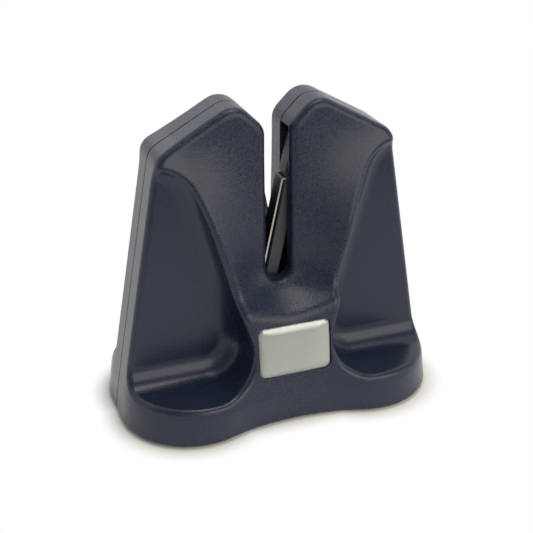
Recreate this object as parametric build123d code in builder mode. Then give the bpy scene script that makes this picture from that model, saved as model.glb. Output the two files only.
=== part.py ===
from build123d import *
from math import atan, atan2, cos, hypot, pi, radians, sin, sqrt, tan
import os

# A pull-through knife sharpener that stands on a table. Two moulded halves make a housing with two
# towers, a knife slot between them and a finger tray on each side, front and rear. Inside, two sprung
# arms with steel strips cross in the slot; a blade that is drawn through spreads them.
# Millimetres, +Z up, front at -Y. The origin lies on the table, under the middle of the housing.

# Outline of the housing from the front: leaning flanks, roofs that fall outwards, the slot
half_width = 60.1  # where a flank's line meets the table
flank_lean_share = 0.172
peak_x = 14.45  # where a roof's line meets the chamfer beside the slot
peak_z = 116.1
peak_round = 8.0
roof_fall_share = 0.56
shoulder_round = 7.0
slot_width = 9.0
slot_floor_z = 49.5
slot_mouth_round = 7.0

# Plan of the housing: two round lobes and a waist between them, at three heights
flange_z = 12.0
form_top_z = 118.0
lobe_forward = 8.0  # distance of the lobes' centres from the seam
lobe_base_share = 0.436  # rounds of the lobes as shares of the half width
lobe_flange_share = 0.436
flange_swell = 0.4  # how far the base's edge stands out of the flanks' line
lobe_top_share = 0.1414
waist_base = 28.9
waist_flange = 29.0
waist_top = 14.5

# Front of the towers: upright beside the slot, flaring out below, and the dish under the slot
tower_front = 10.6
tower_plain_z = 104.5
flare_top_z = 98.5
flare_start_x = 5.0
flare_margin = 4.9  # how far the flare is drawn out past the flanks' foot
flare_drop = 50.0
flare_depth = 46.5
dish_z = 53.0
dish_reach = 32.0
dish_drop = 25.0
dish_reach_shares = (0.02, 0.08, 0.3, 1)
dish_drop_shares = (0.05, 0.17, 0.36, 1)
flare_height_shares = (0.645, 0.258)
section_shares = (-1, -0.6, -0.25, 0, 0.25, 0.6, 1)

# Finger trays: a back wall, a floor, and the leaning side of the middle column
tray_back = 9.8
tray_floor_z = 15.5
tray_top_drop = 0.2  # below the outer ends of the roofs' lines
tray_wall_share = 0.2845  # of the half width
tray_wall_z = 38.0
tray_high_share = 0.7895  # of the roofs' outer ends, where the wall's line reaches the tray's top
tray_corner_round = 14.0
tray_top_round = 16.0
tray_hollow_round = 8.0

# Rounded edges of the moulding
crown_round = 2.8
dish_lip_share = 0.09  # of the half width
tray_edge_round = 2.2
base_edge_round = 1.5
seam_chamfer = 0.35
crease_angle = 12  # degrees between two faces that meet in an edge

# Walls of the hollow halves
wall = 2.4
column_wall = 3.2
column_half = 12.6
column_top_z = 35.5
dish_hollow_back = 12.5
dish_hollow_z = 42.5
tray_floor_wall = 2.5
overrun = 2.0  # how far a cutting shape passes the surface that it cuts

# Feet
foot_radius = 6.0
foot_height = 2.2
foot_proud = 0.8
foot_edge_round = 0.5
foot_x = 36.0
foot_y = 17.0

# Sprung arms: each swings on a pin below the slot and leans across it
pivot_x = 4.5
pivot_z = 40.0
arm_lean_share = 0.21
arm_back = 0.5  # distance of the arm's inner face from the seam
arm_front = 6.9
arm_left = 1.1  # distance of the carrier's near side from the pivot, across the lean
arm_right = 3.7
arm_edge_round = 0.5
carrier_low = 10.5
carrier_high = 49.0
bar_left = 1.7
bar_right = 2.6
bar_high = 63.0
bar_side_inset = 0.4
bar_end_round = 1.6
hub_radius = 3.6
hub_back = 0.8
hub_front = 6.5
arm_swing_deg = 8  # degrees from the crossing to fully spread

# Steel strips with bent ends, clipped in notches of the arms
strip_thickness = 0.6
strip_gap = 0.9  # between the strip and the carrier
strip_low = 13.9
strip_high = 46.9
strip_leg_grip = 1.5  # how deep a bent end sits in its notch
strip_side_inset = 0.2
strip_toe_setback = 2.6  # how far the lower bent end stays behind the strip's front edge
strip_bend_round = 1.1
notch_clearance = 0.05

# Pins, bushes and their bosses
pin_radius = 1.5
pin_front = 12.0
pin_rear = 6.0
pin_end_chamfer = 0.3
pin_seat_clearance = 0.02
bush_wall = 0.85
bush_running_clearance = 0.05
bush_seat_clearance = 0.02
bush_back = 0.2
bush_front = 6.8
boss_radius = 3.2
boss_gap = 0.1  # between a short boss and the bush
boss_root = 16.0

# Compression springs between the arms and ribs in the towers
spring_z = 84.0
spring_forward = 4.0
spring_length = 13.0
spring_mean_radius = 2.6
spring_wire = 0.8
spring_turns = 6
spring_end_clearance = 0.05
seat_proud = 0.7  # how far the arm's seat stands out of the carrier
seat_radius = 3.0
spigot_radius = 1.9
spigot_length = 2.3
rib_thickness = 2.4
rib_height = 14.0
rib_gap = 0.6

# Rubber stops that the arms rest on
pad_thickness = 2.4
pad_low = 6.5
pad_high = 10.5
pad_back = 1.5
pad_front = 5.5
pad_clearance = 0.2
pad_block_back = 0.8
pad_block_side = 3.2
pad_block_margin = 1.0

# Openings that the arms work in
window_low_z = 45.0
window_high_z = 55.0
window_clearance = 0.4
mouth_low_z = 51.5
mouth_step_low_z = 89.0
mouth_step_high_z = 94.0
mouth_high_z = 105.0
mouth_front_low = 7.2
mouth_front_high = 7.7
mouth_round = 1.2

# Screws that hold the halves together, driven from the rear trays
screw_high_x = 38.5
screw_high_z = 80.0
screw_low_x = 44.0
screw_low_z = 34.0
screw_boss_radius = 4.2
screw_radius = 1.3
screw_thread_clearance = 0.02
screw_hole_clearance = 0.3
screw_head_radius = 2.7
screw_head_height = 2.0
screw_head_round = 0.6
screw_head_clearance = 0.25
screw_seat_depth = 2.7  # from the tray's back wall to the underside of the head
screw_reach = 6.4  # how far the screw goes past the seam
screw_tip = 1.6
drive_width = 0.8
drive_length = 3.2
drive_depth = 1.1

# Badge on the column's front: a plate in a shallow pocket and a clear dome on it
badge_width = 27.4
badge_height = 19.0
badge_round = 3.1
badge_z = 29.4
badge_pocket = 0.6
badge_clearance = 0.1
plate_thickness = 0.9
dome_thickness = 1.5
dome_edge_round = 1.1
dome_inset = 0.15

# Sizes that follow from the ones above
slot_half = slot_width / 2
lobe_base_round = lobe_base_share * half_width
lobe_flange_round = lobe_flange_share * half_width
lobe_top_round = lobe_top_share * half_width
flare_end_x = half_width + flare_margin
tray_wall_x = tray_wall_share * half_width
dish_lip_round = dish_lip_share * half_width
front_reach = lobe_forward + lobe_base_round + overrun
hollow_depth = tray_back - wall
base_top_z = foot_proud + wall
column_lean_share = (waist_flange - waist_top) / (form_top_z - flange_z)
arm_lean = atan(arm_lean_share)
strip_left = arm_left + strip_gap + strip_thickness
strip_back = arm_back + strip_side_inset
strip_front = arm_front - strip_side_inset
bush_radius = pin_radius + bush_running_clearance + bush_wall
screw_seat_y = tray_back - screw_seat_depth
screw_places = [
    (side * x, z)
    for side in (-1, 1)
    for x, z in ((screw_high_x, screw_high_z), (screw_low_x, screw_low_z))
]


def flank_x(z):
    """Half width of the housing at a height."""
    return half_width - flank_lean_share * z


def waist_y(z):
    """Distance of the column's front from the seam at a height above the flange."""
    return waist_flange - column_lean_share * (z - flange_z)


def roof_z(x):
    """Height of a tower's roof at a distance from the middle."""
    return peak_z - roof_fall_share * (x - peak_x)


def arm_x(across, z, lean):
    """Place of a line along the front arm, at a distance across it from its pivot, at a height."""
    return across / cos(lean) + (z - pivot_z) * tan(lean) - pivot_x


def front_outline(corner_x, corner_z, foot_x, foot_z):
    """Two towers and the slot, with the roofs running out to one corner on each side."""
    mouth_z = peak_z - (peak_x - slot_half)
    bend = slot_half * sqrt(0.5)
    side_low_z = slot_floor_z + slot_half
    with BuildSketch() as outline:
        with BuildLine():
            ThreePointArc((0, slot_floor_z), (bend, side_low_z - bend), (slot_half, side_low_z))
            Polyline(
                (slot_half, side_low_z),
                (slot_half, mouth_z),
                (peak_x, peak_z),
                (corner_x, corner_z),
                (foot_x, foot_z),
                (0, foot_z),
            )
            mirror(about=Plane.YZ)
        make_face()
        fillet(outline.vertices().group_by(Axis.Y)[-1], peak_round)
        slot_corners = outline.vertices().filter_by(lambda v: abs(v.X) < peak_x - peak_round)
        fillet(slot_corners.group_by(Axis.Y)[-1], slot_mouth_round)
    return outline.sketch


def base_outline(z, side_x, lobe_round, waist):
    """Front half of the plan at a height: flank, lobe, and a waist arc tangent to both lobes."""
    lobe_x = side_x - lobe_round
    rise = waist - lobe_forward
    waist_round = (lobe_x**2 + rise**2 - lobe_round**2) / (2 * (lobe_round - rise))
    waist_centre = waist + waist_round
    span = hypot(lobe_x, waist_centre - lobe_forward)
    meet_x = lobe_x - lobe_x / span * lobe_round
    meet_y = lobe_forward + (waist_centre - lobe_forward) / span * lobe_round
    half_turn = atan2(meet_y - lobe_forward, meet_x - lobe_x) / 2
    lobe_mid = (lobe_x + lobe_round * cos(half_turn), -lobe_forward - lobe_round * sin(half_turn))
    waist_mid = (meet_x / 2, sqrt(waist_round**2 - (meet_x / 2) ** 2) - waist_centre)
    with BuildSketch(Plane.XY.offset(z)) as outline:
        with BuildLine():
            Polyline((0, 0), (side_x, 0), (side_x, -lobe_forward))
            ThreePointArc((side_x, -lobe_forward), lobe_mid, (meet_x, -meet_y))
            ThreePointArc((meet_x, -meet_y), waist_mid, (0, -waist))
            mirror(about=Plane.YZ)
        make_face()
    return outline.sketch


def face_section(x):
    """Section across the tower's front and the dish at a distance from the middle."""
    flare_share = max(abs(x) - flare_start_x, 0) / (flare_end_x - flare_start_x)

    def face_y(z):
        return -tower_front - flare_depth * flare_share * (flare_top_z - z) / flare_drop

    top_z = form_top_z + overrun
    points = [(-tower_front, top_z), (-tower_front, tower_plain_z)]
    for share in flare_height_shares:
        z = dish_z + share * (flare_top_z - dish_z)
        points.append((face_y(z), z))
    for reach_share, drop_share in zip(dish_reach_shares, dish_drop_shares):
        points.append((face_y(dish_z) - dish_reach * reach_share, dish_z - dish_drop * drop_share))
    end_y = points[-1][0]
    with BuildSketch(Plane.YZ.offset(x)) as section:
        with BuildLine():
            Spline(*points, tangents=[(0, -1), (-dish_reach, -dish_drop)])
            Polyline(points[-1], (end_y, -overrun), (overrun, -overrun), (overrun, top_z), points[0])
        make_face()
    return section.sketch


def is_crease(edge, solid):
    """Tell whether the two faces beside an edge meet at an angle."""
    sides = [face for face in solid.faces() if any(other.is_same(edge) for other in face.edges())]
    middle = edge @ 0.5
    return sides[0].normal_at(middle).get_angle(sides[1].normal_at(middle)) > crease_angle


def arm_plane(distance):
    """Plane across the pins at a distance in front of the seam, turned with the front arm."""
    return Plane(
        origin=(-pivot_x, -distance, pivot_z),
        x_dir=(cos(arm_lean), 0, -sin(arm_lean)),
        z_dir=(0, -1, 0),
    )


shoulder_x = (half_width - flank_lean_share * roof_z(0)) / (1 - flank_lean_share * roof_fall_share)
tray_top_z = roof_z(shoulder_x) - tray_top_drop
tray_high_x = tray_high_share * shoulder_x
tray_wall_lean_share = (tray_high_x - tray_wall_x) / (tray_top_z - tray_wall_z)
seat_x = arm_x(arm_right, spring_z, arm_lean) + seat_proud
rib_x = seat_x + spring_length
badge_plane = Plane(
    origin=(0, -waist_y(badge_z), badge_z), x_dir=(1, 0, 0), z_dir=(0, -1, column_lean_share)
)

# Outer form of one half: the front outline, the plan and the flared front met together
with BuildPart() as plan_form:
    loft(
        sections=[
            base_outline(foot_proud, flank_x(foot_proud), lobe_base_round, waist_base),
            base_outline(flange_z, flank_x(flange_z) + flange_swell, lobe_flange_round, waist_flange),
            base_outline(form_top_z, flank_x(form_top_z), lobe_top_round, waist_top),
        ],
        ruled=True,
    )

with BuildPart() as face_form:
    loft(sections=[face_section(share * flare_end_x) for share in section_shares])

with BuildPart() as tray_form:
    tray_low_x = tray_wall_x + tray_wall_lean_share * (tray_floor_z - tray_wall_z)
    tray_side_x = half_width + 2 * tray_hollow_round
    with BuildSketch(Plane.XZ.offset(tray_back)) as tray_outline:
        with BuildLine():
            Polyline(
                (tray_low_x, tray_floor_z),
                (tray_side_x, tray_floor_z),
                (tray_side_x, tray_top_z),
                (tray_high_x, tray_top_z),
                close=True,
            )
        make_face()
        column_corners = tray_outline.vertices().sort_by(Axis.X)[:2].sort_by(Axis.Y)
        fillet(column_corners[0], tray_corner_round)
        fillet(tray_outline.vertices().group_by(Axis.Y)[-1].sort_by(Axis.X)[0], tray_top_round)
    extrude(amount=front_reach)
    fillet(tray_form.faces().sort_by(Axis.Y)[-1].edges(), tray_hollow_round)
    mirror(about=Plane.YZ)

with BuildPart() as half_form:
    out_x = half_width + overrun
    with BuildSketch(Plane.XZ):
        add(front_outline(out_x, roof_z(out_x), out_x, -overrun))
    extrude(amount=front_reach)
    add(face_form.part, mode=Mode.INTERSECT)
    add(plan_form.part, mode=Mode.INTERSECT)
    level_edges = half_form.edges().filter_by(Axis.Y)
    outer_edges = level_edges.filter_by(lambda e: abs(e.center().X) > peak_x + peak_round)
    fillet(outer_edges.group_by(Axis.Z)[-1], shoulder_round)
    add(tray_form.part, mode=Mode.SUBTRACT)
    cut_edges = half_form.edges(Select.LAST)
    front_face = half_form.faces().filter_by(GeomType.BSPLINE).sort_by(SortBy.AREA)[-1]
    fillet(front_face.edges() - cut_edges, crown_round)
    front_face = half_form.faces().filter_by(GeomType.BSPLINE).sort_by(SortBy.AREA)[-1]
    fillet(front_face.edges().sort_by(Axis.Z)[0], dish_lip_round)
    tray_edges = [
        edge
        for edge in half_form.edges()
        if max((edge @ share).Y for share in (0, 0.5, 1)) < -hollow_depth
        and min((edge @ share).Z for share in (0, 0.5, 1)) > flange_z + base_edge_round
        and is_crease(edge, half_form.part)
    ]
    fillet(tray_edges, tray_edge_round)
    base_edges = half_form.faces().sort_by(Axis.Z)[0].edges()
    fillet(base_edges.filter_by(lambda e: e.center().Y < -seam_chamfer), base_edge_round)
    chamfer(half_form.faces().sort_by(Axis.Y)[-1].outer_wire().edges(), seam_chamfer)

# Hollow inside of one half: towers, column and the space under the trays
with BuildPart() as hollow:
    with BuildSketch(Plane.XZ.offset(-overrun)) as tower_hollow:
        add(front_outline(shoulder_x, roof_z(shoulder_x), flank_x(foot_proud), foot_proud))
        offset(amount=-wall, kind=Kind.INTERSECTION)
    extrude(amount=overrun + hollow_depth)
    with BuildSketch(Plane.YZ.offset(-column_half)) as column_hollow:
        with BuildLine():
            Polyline(
                (overrun, base_top_z),
                (column_wall - waist_base, base_top_z),
                (column_wall - waist_flange, flange_z),
                (column_wall - waist_y(column_top_z), column_top_z),
                (-dish_hollow_back, dish_hollow_z),
                (overrun, dish_hollow_z),
                close=True,
            )
        make_face()
    extrude(amount=2 * column_half)
    with BuildSketch(Plane.XY.offset(base_top_z)) as base_hollow:
        add(base_outline(0, flank_x(flange_z), lobe_base_round, waist_base))
        offset(amount=-wall, kind=Kind.INTERSECTION)
    extrude(amount=tray_floor_z - tray_floor_wall - base_top_z)

# One half with its bosses, ribs and openings, before the two halves differ
with BuildPart() as half_shell:
    add(half_form.part)
    add(hollow.part, mode=Mode.SUBTRACT)
    root = hollow_depth + wall / 2
    with BuildSketch(Plane.XZ):
        with Locations(*screw_places):
            Circle(screw_boss_radius)
    extrude(amount=root)
    with BuildSketch(Plane.XZ.offset(bush_front + boss_gap)):
        with Locations((-pivot_x, pivot_z)):
            Circle(boss_radius)
    extrude(amount=boss_root - bush_front - boss_gap)
    with BuildSketch(Plane.XZ):
        with Locations((pivot_x, pivot_z)):
            Circle(boss_radius)
    extrude(amount=boss_root)
    with BuildSketch(Plane.XZ.offset(rib_gap)):
        with Locations((rib_x + rib_thickness / 2, spring_z)):
            Rectangle(rib_thickness, rib_height)
    extrude(amount=root - rib_gap)
    with BuildSketch(Plane.YZ.offset(rib_x + rib_thickness / 2)):
        with Locations((-spring_forward, spring_z)):
            Circle(spigot_radius)
    extrude(amount=-spigot_length - rib_thickness / 2)
    pad_middle = (-arm_left - pad_clearance - pad_thickness / 2, (pad_low + pad_high) / 2)
    with BuildSketch(arm_plane(pad_block_back)):
        with Locations((pad_middle[0] - pad_block_side / 2, pad_middle[1])):
            Rectangle(pad_thickness + pad_block_side, pad_high - pad_low + 2 * pad_block_margin)
    extrude(amount=root - pad_block_back)
    window_left = arm_x(-arm_left, window_low_z, arm_lean) - window_clearance
    window_right = arm_x(arm_right, window_high_z, arm_lean + radians(arm_swing_deg)) + window_clearance
    with BuildSketch(Plane.XZ.offset(-overrun)):
        with Locations(((window_left + window_right) / 2, (window_low_z + window_high_z) / 2)):
            Rectangle(window_right - window_left, window_high_z - window_low_z)
    extrude(amount=overrun + mouth_front_low, mode=Mode.SUBTRACT)
    with BuildSketch(Plane.YZ.offset(slot_half - overrun)) as mouth:
        with BuildLine():
            Polyline(
                (overrun, mouth_low_z),
                (-mouth_front_low, mouth_low_z),
                (-mouth_front_low, mouth_step_low_z),
                (-mouth_front_high, mouth_step_high_z),
                (-mouth_front_high, mouth_high_z),
                (overrun, mouth_high_z),
                close=True,
            )
        make_face()
        fillet(mouth.vertices().filter_by(lambda v: v.X < 0), mouth_round)
    extrude(amount=wall + 2 * overrun, mode=Mode.SUBTRACT)
    with BuildSketch(arm_plane(pad_back)):
        with Locations(pad_middle):
            Rectangle(pad_thickness, pad_high - pad_low)
    extrude(amount=pad_front - pad_back, mode=Mode.SUBTRACT)
    with BuildSketch(Plane.XZ.offset(-overrun)):
        with Locations((-pivot_x, pivot_z)):
            Circle(pin_radius + pin_seat_clearance)
    extrude(amount=overrun + pin_front, mode=Mode.SUBTRACT)
    with BuildSketch(Plane.XZ.offset(-overrun)):
        with Locations((pivot_x, pivot_z)):
            Circle(pin_radius + pin_seat_clearance)
    extrude(amount=overrun + pin_rear, mode=Mode.SUBTRACT)
    with BuildSketch(Plane.XY.offset(foot_proud)):
        with Locations((-foot_x, -foot_y), (foot_x, -foot_y)):
            Circle(foot_radius)
    extrude(amount=foot_height - foot_proud, mode=Mode.SUBTRACT)

# The front half carries the badge and takes the screws' threads
with BuildPart() as front_shell:
    add(half_shell.part)
    with BuildSketch(badge_plane.offset(-badge_pocket)):
        RectangleRounded(
            badge_width + 2 * badge_clearance,
            badge_height + 2 * badge_clearance,
            badge_round + badge_clearance,
        )
    extrude(amount=badge_pocket + overrun, mode=Mode.SUBTRACT)
    with BuildSketch(Plane.XZ.offset(-overrun)):
        with Locations(*screw_places):
            Circle(screw_radius + screw_thread_clearance)
    extrude(amount=overrun + screw_reach, mode=Mode.SUBTRACT)

# The rear half is the same moulding turned round, with the screws' sunk holes
with BuildPart() as rear_shell:
    add(half_shell.part, rotation=(0, 0, 180))
    with BuildSketch(Plane.XZ.offset(overrun)):
        with Locations(*screw_places):
            Circle(screw_radius + screw_hole_clearance)
    extrude(amount=-overrun - tray_back, mode=Mode.SUBTRACT)
    with BuildSketch(Plane.XZ.offset(-screw_seat_y)):
        with Locations(*screw_places):
            Circle(screw_head_radius + screw_head_clearance)
    extrude(amount=-screw_seat_depth - overrun, mode=Mode.SUBTRACT)

# Arms: hub and leg, the wider carrier for the strip, and the bar above it
with BuildPart() as front_arm:
    with BuildSketch(arm_plane(arm_back)) as carrier:
        with Locations(((arm_right - arm_left) / 2, (carrier_low + carrier_high) / 2)):
            Rectangle(arm_left + arm_right, carrier_high - carrier_low)
    extrude(amount=arm_front - arm_back)
    fillet(front_arm.faces().sort_by(Axis.Y)[0].edges(), arm_edge_round)
    with BuildSketch(arm_plane(arm_back + bar_side_inset)) as bar:
        with Locations(((bar_right - bar_left) / 2, (carrier_high - overrun + bar_high) / 2)):
            RectangleRounded(bar_left + bar_right, bar_high - carrier_high + overrun, bar_end_round)
    extrude(amount=arm_front - arm_back - 2 * bar_side_inset)
    with BuildSketch(arm_plane(hub_back)) as leg:
        Circle(hub_radius)
        with Locations(((arm_right - arm_left) / 2, (carrier_low + overrun) / 2)):
            Rectangle(arm_left + arm_right, carrier_low + overrun)
    extrude(amount=hub_front - hub_back)
    seat_root_x = arm_x(0, spring_z, arm_lean)
    with BuildSketch(Plane.YZ.offset(seat_root_x)):
        with Locations((-spring_forward, spring_z)):
            Circle(seat_radius)
    extrude(amount=seat_x - seat_root_x)
    with BuildSketch(Plane.YZ.offset(seat_root_x)):
        with Locations((-spring_forward, spring_z)):
            Circle(spigot_radius)
    extrude(amount=seat_x + spigot_length - seat_root_x)
    notch_depth = strip_leg_grip + notch_clearance
    notch_width = strip_thickness + 2 * notch_clearance
    notch_x = notch_depth / 2 - overrun / 2 - arm_left
    with BuildSketch(arm_plane(-overrun)):
        with Locations((notch_x, strip_high - strip_thickness / 2)):
            Rectangle(notch_depth + overrun, notch_width)
    extrude(amount=arm_front + 2 * overrun, mode=Mode.SUBTRACT)
    with BuildSketch(arm_plane(-overrun)):
        with Locations((notch_x, strip_low + strip_thickness / 2)):
            Rectangle(notch_depth + overrun, notch_width)
    extrude(amount=strip_front - strip_toe_setback + notch_clearance + overrun, mode=Mode.SUBTRACT)
    with BuildSketch(arm_plane(-overrun)):
        Circle(bush_radius + bush_seat_clearance)
    extrude(amount=hub_front + 2 * overrun, mode=Mode.SUBTRACT)

with BuildPart() as front_strip:
    leg_end = strip_leg_grip - arm_left
    inner_x = strip_thickness - strip_left
    with BuildSketch(arm_plane(strip_back)) as strip_edge:
        with BuildLine():
            Polyline(
                (inner_x, strip_low),
                (-strip_left, strip_low),
                (-strip_left, strip_high),
                (leg_end, strip_high),
                (leg_end, strip_high - strip_thickness),
                (inner_x, strip_high - strip_thickness),
                close=True,
            )
        make_face()
        high_corners = strip_edge.vertices().filter_by(lambda v: v.Y > strip_low + strip_thickness)
        fillet(high_corners.group_by(Axis.X)[0], strip_bend_round)
        inner_corner = strip_edge.vertices().sort_by_distance((inner_x, strip_high - strip_thickness))[0]
        fillet(inner_corner, strip_bend_round - strip_thickness)
    extrude(amount=strip_front - strip_back)
    with BuildSketch(arm_plane(strip_back)):
        with Locations(((leg_end - strip_left) / 2, strip_low + strip_thickness / 2)):
            Rectangle(leg_end + strip_left, strip_thickness)
    extrude(amount=strip_front - strip_toe_setback - strip_back)

with BuildPart() as front_pivot_bush:
    with BuildSketch(arm_plane(bush_back)):
        Circle(bush_radius)
        Circle(pin_radius + bush_running_clearance, mode=Mode.SUBTRACT)
    extrude(amount=bush_front - bush_back)

with BuildPart() as front_pivot_pin:
    with BuildSketch(arm_plane(-pin_rear)):
        Circle(pin_radius)
    extrude(amount=pin_rear + pin_front)
    chamfer(front_pivot_pin.edges(), pin_end_chamfer)

with BuildPart() as front_stop_pad:
    with BuildSketch(arm_plane(pad_back)):
        with Locations(pad_middle):
            Rectangle(pad_thickness, pad_high - pad_low)
    extrude(amount=pad_front - pad_back)

# Spring wound along X: each half turn is two arcs that meet in line
coil_start = seat_x + spring_end_clearance + spring_wire / 2
coil_pitch = (spring_length - 2 * spring_end_clearance - spring_wire) / spring_turns


def coil_point(turn):
    """Middle of the wire after a number of turns."""
    angle = 2 * pi * turn
    across = spring_mean_radius * cos(angle) - spring_forward
    return Vector(coil_start + coil_pitch * turn, across, spring_z + spring_mean_radius * sin(angle))


def coil_direction(turn):
    """Direction of the wire after a number of turns."""
    angle = 2 * pi * turn
    around = 2 * pi * spring_mean_radius
    return Vector(coil_pitch, -around * sin(angle), around * cos(angle)).normalized()


with BuildPart() as front_spring:
    with BuildLine() as coil:
        for half_turn in range(2 * spring_turns):
            start, end = coil_point(half_turn / 2), coil_point((half_turn + 1) / 2)
            leave, arrive = coil_direction(half_turn / 2), coil_direction((half_turn + 1) / 2)
            chord = end - start
            bend = 2 * (1 - leave.dot(arrive))
            lean = chord.dot(leave + arrive)
            reach = (sqrt(lean**2 + bend * chord.dot(chord)) - lean) / bend
            middle = (start + leave * reach + end - arrive * reach) * 0.5
            TangentArc(start, middle, tangent=leave)
            TangentArc(middle, end, tangent=end - arrive * reach - start - leave * reach)
    with BuildSketch(Plane(origin=coil_point(0), z_dir=coil_direction(0))):
        Circle(spring_wire / 2)
    sweep(path=coil.wires()[0])

coil_shares = [step / 24 for step in range(24)]
coil_points = [edge @ share for edge in coil.edges().sort_by(Axis.X) for share in coil_shares]
turn_points = 4 * len(coil_shares)
coil_gap = min(
    (coil_points[first] - coil_points[second]).length - spring_wire
    for first in range(len(coil_points))
    for second in range(first + turn_points // 2, len(coil_points))
)
print(f"least gap between the spring's turns: {coil_gap:.2f} mm")

# Parts of the rear mechanism are those of the front one, turned half round
with BuildPart() as rear_arm:
    add(front_arm.part, rotation=(0, 0, 180))
with BuildPart() as rear_strip:
    add(front_strip.part, rotation=(0, 0, 180))
with BuildPart() as rear_pivot_bush:
    add(front_pivot_bush.part, rotation=(0, 0, 180))
with BuildPart() as rear_pivot_pin:
    add(front_pivot_pin.part, rotation=(0, 0, 180))
with BuildPart() as rear_stop_pad:
    add(front_stop_pad.part, rotation=(0, 0, 180))
with BuildPart() as rear_spring:
    add(front_spring.part, rotation=(0, 0, 180))

# Screws with a cross drive, all alike
with BuildPart() as screw:
    head_y = screw_seat_y + screw_head_height
    with BuildSketch(Plane.XY) as screw_side:
        with BuildLine():
            Polyline(
                (0, head_y),
                (screw_head_radius, head_y),
                (screw_head_radius, screw_seat_y),
                (screw_radius, screw_seat_y),
                (screw_radius, screw_tip - screw_reach),
                (0, -screw_reach),
                close=True,
            )
        make_face()
    revolve(axis=Axis.Y)
    fillet(screw.faces().sort_by(Axis.Y)[-1].edges(), screw_head_round)
    with BuildSketch(Plane.XZ.offset(-head_y)):
        Rectangle(drive_length, drive_width)
        Rectangle(drive_width, drive_length)
    extrude(amount=drive_depth, mode=Mode.SUBTRACT)

with BuildPart() as housing_screws:
    with Locations(*[(x, 0, z) for x, z in screw_places]):
        add(screw.part)

# Badge
with BuildPart() as badge_plate:
    with BuildSketch(badge_plane.offset(-badge_pocket)):
        RectangleRounded(badge_width, badge_height, badge_round)
    extrude(amount=plate_thickness)

with BuildPart() as badge_dome:
    with BuildSketch(badge_plane.offset(plate_thickness - badge_pocket)):
        RectangleRounded(
            badge_width - 2 * dome_inset,
            badge_height - 2 * dome_inset,
            badge_round - dome_inset,
        )
    extrude(amount=dome_thickness)
    fillet(badge_dome.faces().sort_by(Axis((0, 0, 0), badge_plane.z_dir))[-1].edges(), dome_edge_round)

os.makedirs("parts", exist_ok=True)
pieces = {
    "front_shell": front_shell,
    "rear_shell": rear_shell,
    "badge_plate": badge_plate,
    "badge_dome": badge_dome,
    "front_arm": front_arm,
    "rear_arm": rear_arm,
    "front_strip": front_strip,
    "rear_strip": rear_strip,
    "front_pivot_pin": front_pivot_pin,
    "rear_pivot_pin": rear_pivot_pin,
    "front_pivot_bush": front_pivot_bush,
    "rear_pivot_bush": rear_pivot_bush,
    "front_spring": front_spring,
    "rear_spring": rear_spring,
    "front_stop_pad": front_stop_pad,
    "rear_stop_pad": rear_stop_pad,
    "housing_screws": housing_screws,
}

# Feet, each pressed into a round seat under a lobe
for end, end_y in (("front", -foot_y), ("rear", foot_y)):
    for side, side_x in (("left", -foot_x), ("right", foot_x)):
        with BuildPart() as foot:
            with BuildSketch():
                with Locations((side_x, end_y)):
                    Circle(foot_radius)
            extrude(amount=foot_height)
            fillet(foot.faces().sort_by(Axis.Z)[0].edges(), foot_edge_round)
        pieces[f"foot_{end}_{side}"] = foot

for name, piece in pieces.items():
    piece.part.label = name
    export_step(piece.part, f"parts/{name}.step")
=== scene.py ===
"""Looks of a stand-up knife sharpener: a navy moulded housing with two towers and finger trays,
a silver badge under a clear lens, and two sprung arms with steel strips that cross in the slot."""
import math

import bpy
from bpy.props import FloatProperty, FloatVectorProperty, IntProperty, PointerProperty
from mathutils import Matrix, Vector


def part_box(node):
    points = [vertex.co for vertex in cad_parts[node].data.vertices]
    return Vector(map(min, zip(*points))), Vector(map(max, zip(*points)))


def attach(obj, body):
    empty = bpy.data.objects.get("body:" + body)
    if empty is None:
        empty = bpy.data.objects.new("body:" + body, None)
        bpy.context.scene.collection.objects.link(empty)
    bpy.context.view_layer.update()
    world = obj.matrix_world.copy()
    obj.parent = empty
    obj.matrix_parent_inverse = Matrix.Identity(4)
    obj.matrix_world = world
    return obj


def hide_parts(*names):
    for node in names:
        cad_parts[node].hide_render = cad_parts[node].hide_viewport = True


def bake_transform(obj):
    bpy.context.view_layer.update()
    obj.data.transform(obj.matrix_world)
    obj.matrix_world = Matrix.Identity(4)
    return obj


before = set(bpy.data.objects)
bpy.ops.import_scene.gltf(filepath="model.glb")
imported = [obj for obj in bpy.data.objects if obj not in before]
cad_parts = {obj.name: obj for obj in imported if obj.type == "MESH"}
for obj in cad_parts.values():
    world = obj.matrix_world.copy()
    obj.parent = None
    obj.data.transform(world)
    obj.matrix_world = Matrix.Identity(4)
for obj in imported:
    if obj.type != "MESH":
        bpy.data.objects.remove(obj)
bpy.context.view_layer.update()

bl_info = {
    "name": "Knife Sharpener Looks",
    "version": (1, 0, 0),
    "blender": (4, 5, 0),
    "location": "3D View > Sidebar > Sharpener",
    "description": "Finishes, badge lens, springs and studio for a stand-up knife sharpener",
    "category": "Object",
}

SHELLS = ("front_shell", "rear_shell")
ARMS = ("front_arm", "rear_arm")
STRIPS = ("front_strip", "rear_strip")
PINS = ("front_pivot_pin", "rear_pivot_pin")
BUSHES = ("front_pivot_bush", "rear_pivot_bush")
STOP_PADS = ("front_stop_pad", "rear_stop_pad")
FEET = ("foot_front_left", "foot_front_right", "foot_rear_left", "foot_rear_right")
RAYS = ("Is Camera Ray", "Is Glossy Ray", "Is Transmission Ray")
WHITE = (1, 1, 1, 1)
MIDDLE = 0.5  # of a noise pattern, and of a mix between two tones
GRITTY = 0.6  # how much of each layer of a gritty noise pattern the next finer one keeps
FINE_RELIEF = 0.00001  # depth of drawn, brushed and turned lines in metres

# Plan of the base in metres: round lobes at the four corners and a waist between them
LOBE_PLACE = (0.0339, 0.008)
LOBE_ROUND = 0.0262
WAIST_REACH = 0.029

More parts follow.
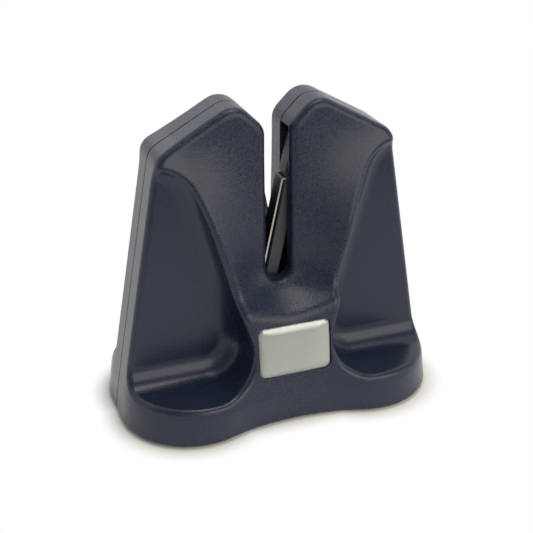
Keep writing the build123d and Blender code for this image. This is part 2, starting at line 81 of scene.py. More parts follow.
# Inner edges of the trays: their distance from the middle at the table, how much it grows per
# height, and half the width of the change from grained to smooth plastic
TRAY_EDGE_FOOT = 0.0068
TRAY_EDGE_LEAN = 0.27
TRAY_EDGE_BLUR = 0.002

# Moulded plastic: patterns per metre or per grain, and what they do to tone, roughness and relief
PLASTIC_IOR = 1.45
PLASTIC_TONES = (0.4, 1.6)
PLASTIC_CLOUDS = 55
PORES_PER_GRAIN = 2.3
PORE_RELIEF = 0.4
SPECKLE_TONE, SPECKLE_ROUGHNESS = 3.2, 0.35
CLOUD_TONE, CLOUD_ROUGHNESS = 0.2, 0.08

# Silver label: brushed along its width, with painted shade along its edge for the shadow in the gap
# round the badge
LABEL_LINES = (90, 90, 5200)
LABEL_CLOUDS = 120
LABEL_TONES = (0.92, 1.08)
LABEL_LINE_TONE, LABEL_CLOUD_TONE = 0.7, 0.3
LABEL_METALLIC = 0.25
LABEL_ROUGHNESS, LABEL_LINE_ROUGHNESS = 0.36, 0.2
GAP_SHADE_TONE = 0.15
GAP_SHADE_BLUR = 0.0001

# Clear lens: cast resin with a faint ripple, brighter where it faces up by more than a range. Its
# crown goes up in steps from the rim inwards, each with its share of the rise: first insets in
# metres, then narrower copies
LENS_IOR = 1.5
LENS_HAZE = 900
LENS_ROUGHNESS, LENS_HAZE_ROUGHNESS = 0.04, 0.05
LENS_RIPPLE, LENS_RIPPLE_STRENGTH = 260, 0.4
GLEAM_FACING = (0.26, 0.5)
LENS_CORNER, LENS_CORNER_STEPS = 0.00295, 8
LENS_RIM_STEPS = ((0.0003, 0.17), (0.0005, 0.23))
LENS_CROWN_STEPS = ((0.9, 0.25), (0.86, 0.18), (0.75, 0.11), (0.5, 0.06))
LENS_SMOOTHING = 2
LENS_SMOOTH_ANGLE = math.radians(50)
LEVEL_FACING, LEVEL_ERROR = 0.9, 1e-5

# Glass-filled plastic of the arms
ARM_GRAIN, ARM_CLOUDS = 2400, 140
ARM_GRAIN_SHARE, ARM_CLOUD_SHARE = 0.6, 0.4
ARM_TONES = (0.7, 1.4)
ARM_ROUGHNESS, ARM_GRAIN_ROUGHNESS = 0.36, 0.16
ARM_RELIEF = 0.00003

# Steel of the strips: wide sides painted dark for the shade they stand in within the slot, and
# narrow sides ground bright that face along Y
GRIND_LINES = (2600, 5200, 60)
STRIP_STAINS = 240
GRIND_TONE, STAIN_TONE = 0.9, 0.5
SHADED_SIDE_TONES, BARE_TONES = (0.7, 1.4), (0.82, 1.1)
BARE_FACING = (0.5, 0.8)
WIDE_SIDE_ROUGHNESS, BARE_SMOOTHNESS, GRIND_ROUGHNESS = 0.46, 0.18, 0.2
GRIND_RELIEF = 0.00002

# Drawn wire of the springs, and how finely it is wound
WIRE_LINES = (4000, 900, 900)
WIRE_TARNISH = 500
WIRE_LINE_SHARE, WIRE_TARNISH_SHARE = 0.6, 0.4
WIRE_DARK, WIRE_BRIGHT = (0.3, 0.3, 0.3), (0.56, 0.55, 0.53)
WIRE_ROUGHNESS, WIRE_TARNISH_ROUGHNESS = 0.28, 0.18
WIRE_SIDES, TURN_STEPS = 14, 40
WIRE_SMOOTH_ANGLE = math.radians(60)
MERGE_DISTANCE = 1e-6

# Turned metal and black rubber of the fittings
PIN_COLOUR, PIN_ROUGHNESS = (0.6, 0.6, 0.59), 0.18
SCREW_COLOUR, SCREW_ROUGHNESS = (0.55, 0.55, 0.56), 0.26
BUSH_ROUGHNESS = 0.22
TURNED_LINES = (700, 5000, 700)
METAL_STAINS = 420
TURNED_SHARE, STAIN_SHARE = 0.6, 0.4
STAINED_TONE, STAIN_ROUGHNESS = 0.72, 0.15
RUBBER_GRIT, RUBBER_DUST = 1500, 160
GRIT_SHARE, DUST_SHARE = 0.5, 0.5
RUBBER_TONES = (0.7, 1.6)
RUBBER_ROUGHNESS, GRIT_ROUGHNESS = 0.66, 0.25
RUBBER_RELIEF = 0.00006
STOP_PAD_TONE = 1.2

# Paper floor: the white sets in just inside the base's edge, at a share of the shadow's reach
FLOOR_SIZE, FLOOR_CUTS = 6, 3
FIBRES, FIBRE_TONE = 900, 0.985
FIBRE_RELIEF, FIBRE_STRENGTH = 0.00002, 0.3
PAPER_ROUGHNESS = 0.9
SHADOW_START = -0.2

# Room, lamps and camera: the backdrop comes in over a range of directions along Y
ROOM_COLOUR = (1, 0.995, 0.985, 1)
BACKDROP_FACING = (-0.3, 0.1)
WARM, PLAIN = (1, 0.96, 0.84), (1, 0.99, 0.97)
LAMP_AIM = (0, 0, 0.04)
FRAME_WIDTH = 36
CLIP_START = 0.01


class Wire:
    """A value in a node tree; sums, differences and products of wires add Math nodes."""

    def __init__(self, nodes, socket):
        self.nodes = nodes
        self.socket = socket

    def __add__(self, other):
        return self.nodes.math("ADD", self, other)

    def __radd__(self, other):
        return self.nodes.math("ADD", other, self)

    def __sub__(self, other):
        return self.nodes.math("SUBTRACT", self, other)

    def __rsub__(self, other):
        return self.nodes.math("SUBTRACT", other, self)

    def __mul__(self, other):
        return self.nodes.math("MULTIPLY", self, other)

    def __rmul__(self, other):
        return self.nodes.math("MULTIPLY", other, self)

    def __abs__(self):
        return self.nodes.math("ABSOLUTE", self)

    def swing(self, weight):
        """How far a pattern departs from its middle, times a weight."""
        return (self - MIDDLE) * weight


class NodeTree:
    """The nodes of a material or of the world, under way."""

    def __init__(self, tree, output):
        self.tree = tree
        self.output = tree.nodes[output]

    def node(self, kind, settings=None, sockets=None, output=0):
        """Add a node: its settings first, then the values or wires of its sockets."""
        made = self.tree.nodes.new(kind)
        for name, value in (settings or {}).items():
            setattr(made, name, value)
        self.feed(made, sockets or {})
        return Wire(self, made.outputs[output])

    def feed(self, made, sockets):
        """Set or link sockets of a node, by name or by number."""
        for name, value in sockets.items():
            if isinstance(value, Wire):
                self.tree.links.new(value.socket, made.inputs[name])
            else:
                made.inputs[name].default_value = value

    def math(self, operation, *values):
        """A Math node on wires and numbers."""
        return self.node("ShaderNodeMath", {"operation": operation}, dict(enumerate(values)))

    def axes(self, place):
        """The three coordinates of a place or direction."""
        outputs = self.node("ShaderNodeSeparateXYZ", sockets={0: place}).socket.node.outputs
        return [Wire(self, outputs[axis]) for axis in "XYZ"]

    def eased(self, value, low, high):
        """A value eased from a range to zero to one."""
        sockets = {"Value": value, "From Min": low, "From Max": high}
        return self.node("ShaderNodeMapRange", {"interpolation_type": "SMOOTHSTEP"}, sockets)

    def rays(self):
        """One or zero each for rays from the camera, for reflections and for rays through glass."""
        outputs = self.node("ShaderNodeLightPath").socket.node.outputs
        return [Wire(self, outputs[name]) for name in RAYS]

    def mixed(self, share, first, second):
        """Put out one shader mixed with another by a share."""
        sockets = {0: share, 1: first, 2: second}
        self.feed(self.output, {"Surface": self.node("ShaderNodeMixShader", sockets=sockets)})


class Finish(NodeTree):
    """A material under way: a principled surface and the nodes that feed it."""

    def __init__(self, name):
        self.material = bpy.data.materials.new(name)
        self.material.use_nodes = True
        super().__init__(self.material.node_tree, "Material Output")
        self.surface = self.tree.nodes["Principled BSDF"]

    def place(self):
        """Where a point lies on the object, in metres."""
        return self.node("ShaderNodeTexCoord", output="Object")

    def facing(self):
        """Which way the surface faces on the object."""
        return self.node("ShaderNodeTexCoord", output="Normal")

    def stretched(self, place, factors):
        """A place drawn out by a factor along each axis, for drawn and ground lines."""
        return self.node("ShaderNodeVectorMath", {"operation": "MULTIPLY"}, {0: place, 1: factors})

    def noise(self, place, scale=1.0, detail=2.0, roughness=0.5):
        """Cloudy pattern around the middle."""
        sockets = {"Vector": place, "Scale": scale, "Detail": detail, "Roughness": roughness}
        return self.node("ShaderNodeTexNoise", sockets=sockets)

    def tone(self, share, low, high):
        """A colour between two, each given as a colour or a wire, by a share."""
        low, high = (end if isinstance(end, Wire) else (*end, 1) for end in (low, high))
        sockets = {"Factor": share, 6: low, 7: high}
        return self.node("ShaderNodeMix", {"data_type": "RGBA"}, sockets, output=2)

    def shades(self, share, colour, shares):
        """A colour between a darker and a lighter shade of it."""
        low, high = shares
        return self.tone(share, shade(colour, low), shade(colour, high))

    def bump(self, height, depth, strength=1.0):
        """Normal of a surface with a height pattern of a depth in metres."""
        sockets = {"Height": height, "Distance": depth, "Strength": strength}
        return self.node("ShaderNodeBump", sockets=sockets)

    def done(self, **sockets):
        """Feed the principled surface, its sockets named with underscores; give the material."""
        self.feed(self.surface, {name.replace("_", " "): value for name, value in sockets.items()})
        return self.material


def shade(colour, share):
    """A colour made lighter or darker by a share."""
    return tuple(part * share for part in colour)


def dress(nodes, material):
    """Give CAD nodes a finish."""
    for name in nodes:
        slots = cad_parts[name].data.materials
        slots.clear()
        slots.append(material)


def start_piece(name):
    """Name the object just added and leave nothing else selected."""
    piece = bpy.context.object
    bpy.ops.object.select_all(action="DESELECT")
    piece.select_set(True)
    piece.name = name
    piece.data.name = name
    return piece


def apply_modifiers(piece):
    """Make the modifiers part of the mesh."""
    for modifier in list(piece.modifiers):
        bpy.ops.object.modifier_apply(modifier=modifier.name)


def settle(piece, slot, *nodes):
    """Put the piece's place in its mesh, and hide the CAD nodes that it stands in for."""
    bpy.ops.object.transform_apply(location=True, rotation=True, scale=True)
    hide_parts(*nodes)


class HousingSettings(bpy.types.PropertyGroup):
    """Sizes and colours of the moulded housing's finish."""

    colour: FloatVectorProperty(
        name="Plastic Colour", description="Navy of the moulded halves", subtype="COLOR",
        size=3, min=0, max=1, default=(0.011, 0.017, 0.04),
    )
    roughness: FloatProperty(
        name="Roughness", description="Roughness of the plastic before its grain adds to it",
        subtype="FACTOR", min=0, max=1, default=0.24,
    )
    grain_roughness: FloatProperty(
        name="Grain Roughness", description="How much rougher full grain makes the plastic",
        subtype="FACTOR", min=0, max=1, default=0.08,
    )
    grain: FloatProperty(
        name="Grain Size", description="Width of one grain of the spark-eroded mould",
        unit="LENGTH", default=0.0007, precision=5,
    )
    grain_depth: FloatProperty(
        name="Grain Depth", description="Depth of the grain on the towers", unit="LENGTH",
        default=0.0001, precision=6,
    )
    tray_smoothness: FloatProperty(
        name="Tray Smoothness", description="Share of the grain that the trays and flanks lack",
        subtype="FACTOR", min=0, max=1, default=0.7,
    )


class BadgeSettings(bpy.types.PropertyGroup):
    """Sizes and colours of the badge."""

    colour: FloatVectorProperty(
        name="Silver Colour", description="Silver of the label under the lens", subtype="COLOR",
        size=3, min=0, max=1, default=(0.5, 0.52, 0.495),
    )
    # painted shade: the dark band along the label's edge stands in for the shadow in the gap round
    # the badge
    gap_shade: FloatProperty(
        name="Border Width", description="Width of the darker border of the label", unit="LENGTH",
        default=0.00035, precision=5,
    )
    rise: FloatProperty(
        name="Lens Rise", description="Height of the lens's middle over its rim", unit="LENGTH",
        default=0.0012, precision=5,
    )
    rim_gleam: FloatProperty(
        name="Rim Gleam", description="Extra gloss where the lens's upper rim gathers the light",
        subtype="FACTOR", min=0, max=1, default=0.25,
    )


class MechanismSettings(bpy.types.PropertyGroup):
    """Sizes and colours of the arms, strips, springs and fittings."""

    arm_colour: FloatVectorProperty(
        name="Arm Colour", description="Dark plastic of the arms", subtype="COLOR",
        size=3, min=0, max=1, default=(0.03, 0.032, 0.041),
    )
    steel_colour: FloatVectorProperty(
        name="Steel Colour", description="Ground steel of the strips", subtype="COLOR",
        size=3, min=0, max=1, default=(0.5, 0.46, 0.4),
    )
    # painted shade: the strips' wide sides get this near-black colour for the shade they stand in
    # within the slot
    shaded_side_colour: FloatVectorProperty(
        name="Blued Colour", description="Blackened wide sides of the strips", subtype="COLOR",
        size=3, min=0, max=1, default=(0.07, 0.075, 0.078),
    )
    brass_colour: FloatVectorProperty(
        name="Brass Colour", description="Brass of the bushes", subtype="COLOR",
        size=3, min=0, max=1, default=(0.72, 0.5, 0.2),
    )
    rubber_colour: FloatVectorProperty(
        name="Rubber Colour", description="Rubber of the feet and stops", subtype="COLOR",
        size=3, min=0, max=1, default=(0.018, 0.018, 0.019),
    )
    wire: FloatProperty(
        name="Spring Wire", description="Thickness of the springs' wire", unit="LENGTH",
        default=0.0008, precision=5,
    )
    turns: IntProperty(name="Spring Turns", description="Turns of each spring", default=6)


class StageSettings(bpy.types.PropertyGroup):
    """Camera, floor and light of the studio."""

    camera_place: FloatVectorProperty(
        name="Camera Place", description="Where the camera stands", subtype="TRANSLATION",
        size=3, default=(-0.12416, -0.33090, 0.22336),
    )
    azimuth: FloatProperty(
        name="Azimuth", description="Turn of the camera round the object, from its front",
        subtype="ANGLE", default=math.radians(-20.48),
    )
    elevation: FloatProperty(
        name="Elevation", description="Tilt of the camera down to the object",
        subtype="ANGLE", default=math.radians(26.21),
    )
    lens: FloatProperty(
        name="Lens", description="Focal length on a 36 mm wide frame", subtype="DISTANCE_CAMERA",
        default=72.46,
    )
    floor_colour: FloatVectorProperty(
        name="Floor Colour", description="Pale paper of the floor", subtype="COLOR",
        size=3, min=0, max=1, default=(0.97, 0.955, 0.92),
    )
    floor_front: FloatProperty(
        name="Floor Front", description="How far in front of the object's middle the paper ends",
        unit="LENGTH", default=0.2,
    )
    shadow_reach: FloatProperty(
        name="Shadow Reach", description="How far from the base the paper has run out into white",
        unit="LENGTH", default=0.008, precision=4,
    )
    key_power: FloatProperty(
        name="Key Power", description="Power of the soft light at the front right",
        unit="POWER", default=2.2,
    )
    top_power: FloatProperty(
        name="Top Power", description="Power of the panel above the object",
        unit="POWER", default=1.3,
    )
    side_power: FloatProperty(
        name="Side Power", description="Power of the low panel at the right",
        unit="POWER", default=0.3,
    )
    front_power: FloatProperty(
        name="Front Power", description="Power of the low panel behind and below the camera",
        unit="POWER", default=0.1,
    )
    back_power: FloatProperty(
        name="Back Power", description="Power of the panel behind the object",
        unit="POWER", default=0.22,
    )
    room_light: FloatProperty(
        name="Room Light", description="Strength of the even light from all sides", default=0.36,
    )


class SHARPENER_OT_housing(bpy.types.Operator):
    """Finish the two moulded halves in grained navy plastic"""

    bl_idname = "sharpener.housing"
    bl_label = "Finish Housing"

    def execute(self, context):
        look = context.scene.sharpener_housing
        plastic = Finish("navy_plastic")
        place = plastic.place()
        across, _, height = plastic.axes(place)
        tray_edge = TRAY_EDGE_LEAN * height + TRAY_EDGE_FOOT
        tray = plastic.eased(abs(across) - tray_edge, -TRAY_EDGE_BLUR, TRAY_EDGE_BLUR)
        grain = plastic.noise(place, 1 / look.grain, roughness=GRITTY)
        pores = plastic.noise(place, PORES_PER_GRAIN / look.grain, detail=1.0)
        clouds = plastic.noise(place, PLASTIC_CLOUDS, detail=3.0)
        coarse = 1 - look.tray_smoothness * tray
        speckle = grain.swing(coarse)
        share = MIDDLE + speckle * SPECKLE_TONE + clouds.swing(CLOUD_TONE)
        roughness = look.roughness + coarse * look.grain_roughness
        roughness = roughness + speckle * SPECKLE_ROUGHNESS + clouds.swing(CLOUD_ROUGHNESS)
        dress(SHELLS, plastic.done(
            Base_Color=plastic.shades(share, look.colour, PLASTIC_TONES),
            Roughness=roughness, IOR=PLASTIC_IOR,
            Normal=plastic.bump((grain + pores * PORE_RELIEF) * coarse, look.grain_depth),
        ))
        return {"FINISHED"}


class SHARPENER_OT_badge(bpy.types.Operator):
    """Finish the silver label and lay a crowned clear lens over it"""

    bl_idname = "sharpener.badge"
    bl_label = "Make Badge"

    def silver(self, look):
        """Brushed silver sheet with painted shade along its edge, for the shadow in the gap round
        it.
        """
        low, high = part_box("badge_plate")
        centre, half = (low + high) / 2, (high - low) / 2
        label = Finish("label_silver")
        place = label.place()
        across, _, height = label.axes(place)
        lines = label.noise(label.stretched(place, LABEL_LINES))
        clouds = label.noise(place, LABEL_CLOUDS)
        # painted shade: the label is darkened along its edge for the shadow in the gap round it
        past_side = abs(across) - (half.x - look.gap_shade)
        past_end = abs(height - centre.z) - (half.z - look.gap_shade)
        gap_shade = label.eased(label.math("MAXIMUM", past_side, past_end), -GAP_SHADE_BLUR, GAP_SHADE_BLUR)
        share = MIDDLE + lines.swing(LABEL_LINE_TONE) + clouds.swing(LABEL_CLOUD_TONE)
        bare = label.shades(share, look.colour, LABEL_TONES)
        return label.done(
            Base_Color=label.tone(gap_shade, bare, shade(look.colour, GAP_SHADE_TONE)),
            Metallic=LABEL_METALLIC,
            Roughness=LABEL_ROUGHNESS + lines.swing(LABEL_LINE_ROUGHNESS),
            Normal=label.bump(lines, FINE_RELIEF),
        )

    def clear(self, look):
        """Cast resin: seen through, and brighter where its upper rim gathers the light."""
        lens = Finish("lens_clear")
        place = lens.place()
        haze = lens.noise(place, LENS_HAZE)
        ripple = lens.noise(place, LENS_RIPPLE, detail=1.0)
        normal = lens.bump(ripple, FINE_RELIEF, LENS_RIPPLE_STRENGTH)
        upward = lens.axes(lens.facing())[2]
        gloss = lens.node("ShaderNodeFresnel", sockets={"IOR": LENS_IOR, "Normal": normal})
        gloss = gloss + lens.eased(upward, *GLEAM_FACING) * look.rim_gleam
        shine = {"Roughness": LENS_ROUGHNESS + haze * LENS_HAZE_ROUGHNESS, "Normal": normal}
        through = lens.node("ShaderNodeBsdfTransparent")
        lens.mixed(gloss, through, lens.node("ShaderNodeBsdfGlossy", sockets=shine))
        lens.tree.nodes.remove(lens.surface)
        return lens.material

    def pick_uprights(self, piece, rim):
        """Select the edges that stand on the rim's corners."""
        bpy.ops.mesh.select_mode(type="EDGE")
        bpy.ops.mesh.select_all(action="DESELECT")
        bpy.ops.object.mode_set(mode="OBJECT")
        for edge in piece.data.edges:
            first, second = (piece.data.vertices[end].co for end in edge.vertices)
            edge.select = abs(first.z - second.z) > rim / 2
        bpy.ops.object.mode_set(mode="EDIT")

    def pick_top(self, piece, level):
        """Select the level face on top."""
        bpy.ops.mesh.select_mode(type="FACE")
        bpy.ops.mesh.select_all(action="DESELECT")
        bpy.ops.object.mode_set(mode="OBJECT")
        for face in piece.data.polygons:
            on_top = abs(face.center.z - level) < LEVEL_ERROR
            face.select = on_top and face.normal.z > LEVEL_FACING
        bpy.ops.object.mode_set(mode="EDIT")

    def crowned(self, look, width, tall, thick):
        """A lens lying flat: a rim with round corners, and a crown that rises to the middle."""
        bpy.ops.object.select_all(action="DESELECT")
        bpy.ops.mesh.primitive_cube_add(size=1)
        piece = start_piece("badge_lens")
        rim = thick - look.rise
        piece.scale = (width, tall, rim)
        piece.location = (0, 0, rim / 2)
        bpy.ops.object.transform_apply(location=True, scale=True)
        bpy.ops.object.mode_set(mode="EDIT")
        self.pick_uprights(piece, rim)
        bpy.ops.mesh.bevel(offset=LENS_CORNER, segments=LENS_CORNER_STEPS)
        self.pick_top(piece, rim)
        for step_in, step_up in LENS_RIM_STEPS:
            bpy.ops.mesh.inset(thickness=step_in)
            bpy.ops.transform.translate(value=(0, 0, look.rise * step_up))
        for narrower, step_up in LENS_CROWN_STEPS:
            bpy.ops.mesh.extrude_region()
            bpy.ops.transform.resize(value=(narrower, narrower, 1))
            bpy.ops.transform.translate(value=(0, 0, look.rise * step_up))
        bpy.ops.mesh.poke()
        bpy.ops.object.mode_set(mode="OBJECT")
        smooth = piece.modifiers.new("smooth", "SUBSURF")
        smooth.levels = smooth.render_levels = LENS_SMOOTHING
        apply_modifiers(piece)
        bpy.ops.object.shade_smooth_by_angle(angle=LENS_SMOOTH_ANGLE)
        return piece

    def execute(self, context):
        look = context.scene.sharpener_badge
        dress(("badge_plate",), self.silver(look))
        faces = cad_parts["badge_plate"].data.polygons
        out = max(faces, key=lambda face: -face.normal.y * face.area).normal
        along = out.cross(Vector((1, 0, 0)))
        corners = [corner.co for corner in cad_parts["badge_dome"].data.vertices]
        heights = [corner.dot(along) for corner in corners]
        depths = [corner.dot(out) for corner in corners]
        low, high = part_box("badge_dome")
        tall, thick = max(heights) - min(heights), max(depths) - min(depths)
        root = along * ((max(heights) + min(heights)) / 2) + out * min(depths)
        piece = self.crowned(look, high.x - low.x, tall, thick)
        piece.matrix_world = Matrix.Translation(root) @ Matrix((
            (1, 0, 0, 0), (0, along.y, out.y, 0), (0, along.z, out.z, 0), (0, 0, 0, 1),
        ))
        piece.data.materials.append(self.clear(look))
        settle(piece, "badge_clear", "badge_dome")
        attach(piece, "housing")
        return {"FINISHED"}


class SHARPENER_OT_arms(bpy.types.Operator):
    """Finish the dark arms and the ground steel strips on them"""

    bl_idname = "sharpener.arms"
    bl_label = "Finish Arms"

    def plastic(self, look):
        """Dark glass-filled plastic."""
        dark = Finish("arm_plastic")
        place = dark.place()
        grain = dark.noise(place, ARM_GRAIN)
        share = grain * ARM_GRAIN_SHARE + dark.noise(place, ARM_CLOUDS) * ARM_CLOUD_SHARE
        return dark.done(
            Base_Color=dark.shades(share, look.arm_colour, ARM_TONES),
            Roughness=ARM_ROUGHNESS + grain * ARM_GRAIN_ROUGHNESS,
            Normal=dark.bump(grain, ARM_RELIEF),
        )

    def ground_steel(self, look):
        """Steel with wide sides painted dark for their shade in the slot, and bright ground narrow
        sides.
        """
        steel = Finish("strip_steel")
        place = steel.place()
        ground = steel.noise(steel.stretched(place, GRIND_LINES))
        stain = steel.noise(place, STRIP_STAINS, detail=3.0)
        share = MIDDLE + ground.swing(GRIND_TONE) + stain.swing(STAIN_TONE)
        edge = steel.eased(abs(steel.axes(steel.facing())[1]), *BARE_FACING)
        # painted shade: the wide sides are coloured near black for the shade in the slot, and the
        # narrow sides keep the steel's colour
        shaded_sides = steel.shades(share, look.shaded_side_colour, SHADED_SIDE_TONES)
        bare = steel.shades(share, look.steel_colour, BARE_TONES)
        roughness = WIDE_SIDE_ROUGHNESS - edge * BARE_SMOOTHNESS + ground.swing(GRIND_ROUGHNESS)
        return steel.done(
            Base_Color=steel.tone(edge, shaded_sides, bare), Metallic=1.0, Roughness=roughness,
            Normal=steel.bump(ground, GRIND_RELIEF),
        )

    def execute(self, context):
        look = context.scene.sharpener_mechanism
        dress(ARMS, self.plastic(look))
        dress(STRIPS, self.ground_steel(look))
        return {"FINISHED"}


class SHARPENER_OT_springs(bpy.types.Operator):
    """Wind the two compression springs that push the arms to the crossing"""

    bl_idname = "sharpener.springs"
    bl_label = "Make Springs"

    def drawn_wire(self):
        """Drawn steel with a little tarnish."""
        drawn = Finish("spring_wire")
        place = drawn.place()
        lines = drawn.noise(drawn.stretched(place, WIRE_LINES))
        tarnish = drawn.noise(place, WIRE_TARNISH)
        share = lines * WIRE_LINE_SHARE + tarnish * WIRE_TARNISH_SHARE
        return drawn.done(
            Base_Color=drawn.tone(share, WIRE_DARK, WIRE_BRIGHT), Metallic=1.0,
            Roughness=WIRE_ROUGHNESS + tarnish * WIRE_TARNISH_ROUGHNESS,
            Normal=drawn.bump(lines, FINE_RELIEF),
        )

    def wind(self, look, name):
        """A spring of round wire in the front spring's place, cut off square at both ends."""
        low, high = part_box("front_spring")
        middle = (low + high) / 2
        reach = (high.y - low.y - look.wire) / 2
        length = high.x - low.x - look.wire
        bpy.ops.object.select_all(action="DESELECT")
        bpy.ops.mesh.primitive_circle_add(
            vertices=WIRE_SIDES, radius=look.wire / 2, location=(0, reach, 0),
        )
        piece = start_piece(name)
        bpy.ops.object.transform_apply(location=True)
        screw = piece.modifiers.new("wind", "SCREW")
        screw.axis = "X"
        screw.screw_offset = length / look.turns
        screw.iterations = look.turns
        screw.steps = screw.render_steps = TURN_STEPS
        apply_modifiers(piece)
        bpy.ops.object.mode_set(mode="EDIT")
        bpy.ops.mesh.select_all(action="SELECT")
        bpy.ops.mesh.remove_doubles(threshold=MERGE_DISTANCE)
        bpy.ops.mesh.select_mode(type="EDGE")
        bpy.ops.mesh.select_all(action="DESELECT")
        bpy.ops.mesh.select_non_manifold()
        bpy.ops.mesh.edge_face_add()
        bpy.ops.mesh.select_all(action="SELECT")
        bpy.ops.mesh.normals_make_consistent(inside=False)
        bpy.ops.object.mode_set(mode="OBJECT")
        bpy.ops.object.shade_smooth_by_angle(angle=WIRE_SMOOTH_ANGLE)
        piece.location = (low.x + look.wire / 2, middle.y, middle.z)
        bpy.ops.object.transform_apply(location=True)
        return piece

    def execute(self, context):
        look = context.scene.sharpener_mechanism
        wire = self.drawn_wire()
        for end, turn in (("front", 0.0), ("rear", math.pi)):
            piece = self.wind(look, f"{end}_coil")
            piece.rotation_euler.z = turn
            piece.data.materials.append(wire)
            settle(piece, "spring_steel", f"{end}_spring")
            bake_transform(piece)
        return {"FINISHED"}


class SHARPENER_OT_fittings(bpy.types.Operator):
    """Finish the pins, bushes, stops, screws and feet"""

    bl_idname = "sharpener.fittings"
    bl_label = "Finish Fittings"

    def metal(self, name, colour, roughness):
        """Turned metal with faint stains."""
        made = Finish(name)
        place = made.place()
        turned = made.noise(made.stretched(place, TURNED_LINES))
        stain = made.noise(place, METAL_STAINS)
        share = turned * TURNED_SHARE + stain * STAIN_SHARE
        return made.done(
            Base_Color=made.tone(share, shade(colour, STAINED_TONE), colour), Metallic=1.0,
            Roughness=roughness + stain * STAIN_ROUGHNESS, Normal=made.bump(turned, FINE_RELIEF),
        )

    def rubber(self, name, colour):
        """Black rubber with a gritty skin and some dust."""
        made = Finish(name)
        place = made.place()
        grit = made.noise(place, RUBBER_GRIT, detail=3.0, roughness=GRITTY)
        share = grit * GRIT_SHARE + made.noise(place, RUBBER_DUST) * DUST_SHARE
        return made.done(
            Base_Color=made.shades(share, colour, RUBBER_TONES),
            Roughness=RUBBER_ROUGHNESS + grit * GRIT_ROUGHNESS,
            Normal=made.bump(grit, RUBBER_RELIEF),
        )

    def execute(self, context):
        look = context.scene.sharpener_mechanism
        dress(PINS, self.metal("pin_steel", PIN_COLOUR, PIN_ROUGHNESS))
        dress(("housing_screws",), self.metal("screw_steel", SCREW_COLOUR, SCREW_ROUGHNESS))
        dress(BUSHES, self.metal("bush_brass", look.brass_colour, BUSH_ROUGHNESS))
        dress(STOP_PADS, self.rubber("stop_rubber", shade(look.rubber_colour, STOP_PAD_TONE)))
        dress(FEET, self.rubber("foot_rubber", look.rubber_colour))
        return {"FINISHED"}


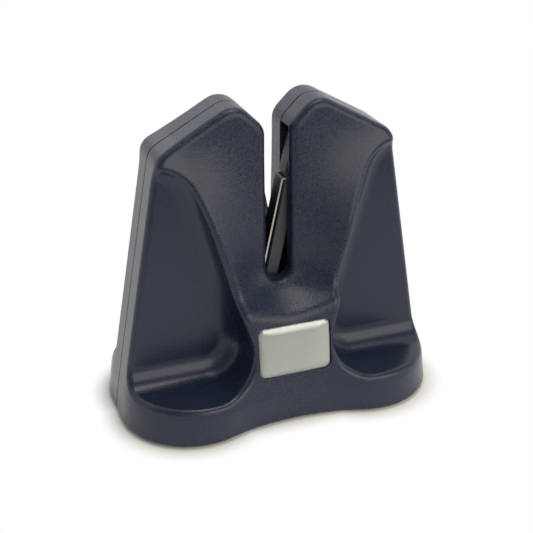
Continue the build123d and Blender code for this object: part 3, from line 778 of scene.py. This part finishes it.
class SHARPENER_OT_stage(bpy.types.Operator):
    """Set up the pale floor, the soft light and the camera"""

    bl_idname = "sharpener.stage"
    bl_label = "Set Stage"

    def away_from_base(self, paper, place):
        """How far a point of the floor lies outside the base's plan."""
        across, along, _ = paper.axes(place)
        lobe_x, lobe_y = abs(across) - LOBE_PLACE[0], abs(along) - LOBE_PLACE[1]
        lobe_away = paper.math("SQRT", lobe_x * lobe_x + lobe_y * lobe_y) - LOBE_ROUND
        waist_away = paper.math("MAXIMUM", lobe_x, abs(along) - WAIST_REACH)
        return paper.math("MINIMUM", lobe_away, waist_away)

    def floor(self, look):
        """Pale paper that shows the shadow round the object and runs out into plain white."""
        bpy.ops.object.select_all(action="DESELECT")
        bpy.ops.mesh.primitive_plane_add(size=FLOOR_SIZE)
        piece = start_piece("floor")
        bpy.ops.object.mode_set(mode="EDIT")
        bpy.ops.mesh.select_all(action="SELECT")
        bpy.ops.mesh.subdivide(number_cuts=FLOOR_CUTS)
        bpy.ops.transform.translate(value=(0, FLOOR_SIZE / 2 - look.floor_front, 0))
        bpy.ops.object.mode_set(mode="OBJECT")
        paper = Finish("floor_paper")
        place = paper.place()
        fibres = paper.noise(place, FIBRES, detail=3.0)
        paper.done(
            Base_Color=paper.shades(fibres, look.floor_colour, (FIBRE_TONE, 1)),
            Roughness=PAPER_ROUGHNESS, Normal=paper.bump(fibres, FIBRE_RELIEF, FIBRE_STRENGTH),
        )
        camera, glossy, through = paper.rays()
        seen = paper.math("MINIMUM", camera + glossy + through, 1.0)
        reach = look.shadow_reach
        clear = paper.eased(self.away_from_base(paper, place), SHADOW_START * reach, reach)
        lit = Wire(paper, paper.surface.outputs[0])
        white = paper.node("ShaderNodeEmission", sockets={"Color": WHITE, "Strength": 1.0})
        paper.mixed(seen * clear, lit, white)
        piece.data.materials.append(paper.material)

    def world(self, look):
        """A dim room in front of the object and a white backdrop behind it."""
        world = bpy.data.worlds.new("studio")
        world.use_nodes = True
        bpy.context.scene.world = world
        studio = NodeTree(world.node_tree, "World Output")
        room = studio.tree.nodes["Background"]
        studio.feed(room, {"Color": ROOM_COLOUR, "Strength": look.room_light})
        white = studio.node("ShaderNodeBackground", sockets={"Color": WHITE, "Strength": 1.0})
        direction = studio.node("ShaderNodeTexCoord", output="Generated")
        behind = studio.eased(studio.axes(direction)[1], *BACKDROP_FACING)
        camera, glossy, through = studio.rays()
        seen = studio.math("MAXIMUM", camera, (glossy + through) * behind)
        studio.mixed(seen, Wire(studio, room.outputs[0]), white)

    def lamp(self, name, place, size, power, colour):
        """A soft panel that faces the object and stays out of the picture."""
        bpy.ops.object.light_add(type="AREA", location=place)
        lamp = bpy.context.object
        lamp.name = name
        aim = Vector(LAMP_AIM) - Vector(place)
        lamp.rotation_euler = aim.to_track_quat("-Z", "Y").to_euler()
        lamp.data.shape = "RECTANGLE"
        lamp.data.size, lamp.data.size_y = size
        lamp.data.energy = power
        lamp.data.color = colour
        lamp.visible_camera = False

    def camera(self, look):
        """A camera at the photograph's viewing angle."""
        turn, tilt = look.azimuth, look.elevation
        level = math.cos(tilt)
        back = Vector((math.sin(turn) * level, -math.cos(turn) * level, math.sin(tilt)))
        bpy.ops.object.camera_add(location=look.camera_place)
        camera = bpy.context.object
        camera.rotation_euler = (-back).to_track_quat("-Z", "Y").to_euler()
        camera.data.sensor_width = FRAME_WIDTH
        camera.data.lens = look.lens
        camera.data.clip_start = CLIP_START
        bpy.context.scene.camera = camera

    def execute(self, context):
        look = context.scene.sharpener_stage
        self.floor(look)
        self.world(look)
        self.lamp("key", (0.205, -0.565, 0.289), (0.6, 0.5), look.key_power, WARM)
        self.lamp("top", (0.06, -0.08, 0.74), (0.36, 0.3), look.top_power, WARM)
        self.lamp("side", (0.5, -0.32, 0.13), (0.34, 0.2), look.side_power, WARM)
        self.lamp("front", (-0.2, -0.55, 0.17), (0.22, 0.16), look.front_power, WARM)
        self.lamp("back", (-0.14, 0.55, 0.4), (0.46, 0.26), look.back_power, PLAIN)
        self.camera(look)
        context.scene.view_settings.view_transform = "Standard"
        return {"FINISHED"}


class SHARPENER_PT_panel(bpy.types.Panel):
    """Pieces and settings of the knife sharpener"""

    bl_idname = "SHARPENER_PT_panel"
    bl_label = "Knife Sharpener"
    bl_space_type = "VIEW_3D"
    bl_region_type = "UI"
    bl_category = "Sharpener"

    def draw(self, context):
        for operator in OPERATORS:
            self.layout.operator(operator.bl_idname)
        for name, group in SETTINGS.items():
            box = self.layout.box()
            for field in group.__annotations__:
                box.prop(getattr(context.scene, name), field)


SETTINGS = {
    "sharpener_housing": HousingSettings,
    "sharpener_badge": BadgeSettings,
    "sharpener_mechanism": MechanismSettings,
    "sharpener_stage": StageSettings,
}
OPERATORS = (
    SHARPENER_OT_stage,
    SHARPENER_OT_housing,
    SHARPENER_OT_badge,
    SHARPENER_OT_arms,
    SHARPENER_OT_springs,
    SHARPENER_OT_fittings,
)


def register():
    """Make the settings, operators and panel known to Blender."""
    for made in (*SETTINGS.values(), *OPERATORS, SHARPENER_PT_panel):
        bpy.utils.register_class(made)
    for name, group in SETTINGS.items():
        setattr(bpy.types.Scene, name, PointerProperty(type=group))


def unregister():
    """Take the settings, operators and panel out of Blender again."""
    for name in SETTINGS:
        delattr(bpy.types.Scene, name)
    for made in (SHARPENER_PT_panel, *OPERATORS, *SETTINGS.values()):
        bpy.utils.unregister_class(made)


def main():
    """Build the stage and the pieces in order."""
    register()
    bpy.ops.sharpener.stage()
    bpy.ops.sharpener.housing()
    bpy.ops.sharpener.badge()
    bpy.ops.sharpener.arms()
    bpy.ops.sharpener.springs()
    bpy.ops.sharpener.fittings()


if __name__ == "__main__":
    main()
